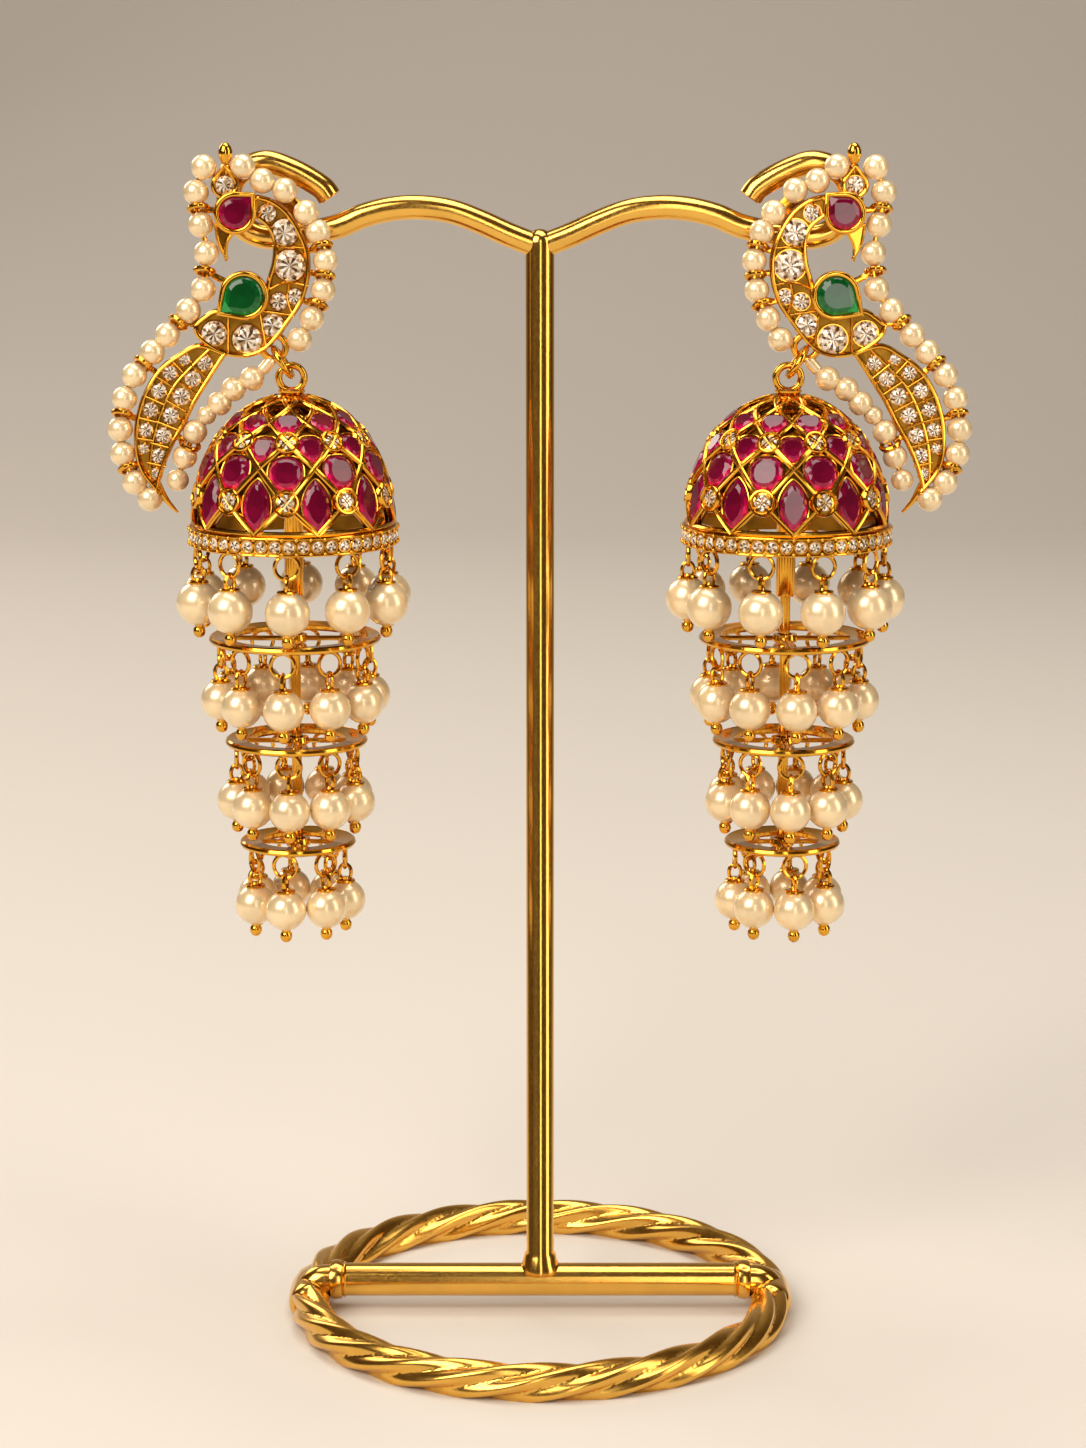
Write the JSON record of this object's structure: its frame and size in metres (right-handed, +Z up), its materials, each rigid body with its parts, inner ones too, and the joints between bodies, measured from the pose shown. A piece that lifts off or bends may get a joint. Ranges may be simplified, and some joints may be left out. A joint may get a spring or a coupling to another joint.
{
  "type": "pair of jhumka earrings on a display stand",
  "caption": "Pair of peacock-stud jhumka earrings with jewelled bell domes and tiers of pearl drops, hanging on a gold T-shaped display stand with a rope-twist base ring.",
  "frame": {"origin": "on the floor under the stand's column, midway between the two earrings", "axes": "+Z up along the column, +X towards the earring on the viewer's right, -Y towards the front, which the studs face"},
  "size_m": [0.1012, 0.062, 0.1441],
  "materials": {
    "gold": "polished yellow gold plate",
    "stand_gold": "satin gold plate",
    "pearl": "cream pearl lustre",
    "ruby": "cut red stone",
    "emerald": "cut green stone"
  },
  "bodies": {
    "display": {"stand_base": "stand_gold", "stand_tree": "stand_gold", "stud_right": "gold", "head_ruby_right": "ruby", "breast_emerald_right": "emerald", "outer_strand_right": "pearl", "neck_strand_right": "pearl", "inner_strand_right": "pearl", "ear_post_right": "gold", "stud_left": "gold", "head_ruby_left": "ruby", "breast_emerald_left": "emerald", "outer_strand_left": "pearl", "neck_strand_left": "pearl", "inner_strand_left": "pearl", "ear_post_left": "gold"},
    "link_right": {"link_right": "gold"},
    "jhumka_right": {"dome_right": "gold", "rim_right": "gold", "stem_right": "gold", "tier_one_right": "pearl", "tier_two_right": "pearl", "tier_three_right": "pearl"},
    "link_left": {"link_left": "gold"},
    "jhumka_left": {"dome_left": "gold", "rim_left": "gold", "stem_left": "gold", "tier_one_left": "pearl", "tier_two_left": "pearl", "tier_three_left": "pearl"}
  },
  "joints": [
    {"name": "link_right_swing", "type": "hinge", "parent": "display", "child": "link_right", "pos_m": [0.0313, -0.0038, 0.11938], "axis": [1, 0, 0], "range_deg": [-20, 20]},
    {"name": "jhumka_right_swing", "type": "hinge", "parent": "link_right", "child": "jhumka_right", "pos_m": [0.0293, -0.0038, 0.1174], "axis": [0, 1, 0], "range_deg": [-2, 14]},
    {"name": "link_left_swing", "type": "hinge", "parent": "display", "child": "link_left", "pos_m": [-0.0313, -0.0038, 0.11938], "axis": [1, 0, 0], "range_deg": [-20, 20]},
    {"name": "jhumka_left_swing", "type": "hinge", "parent": "link_left", "child": "jhumka_left", "pos_m": [-0.0293, -0.0038, 0.1174], "axis": [0, 1, 0], "range_deg": [-14, 2]}
  ]
}
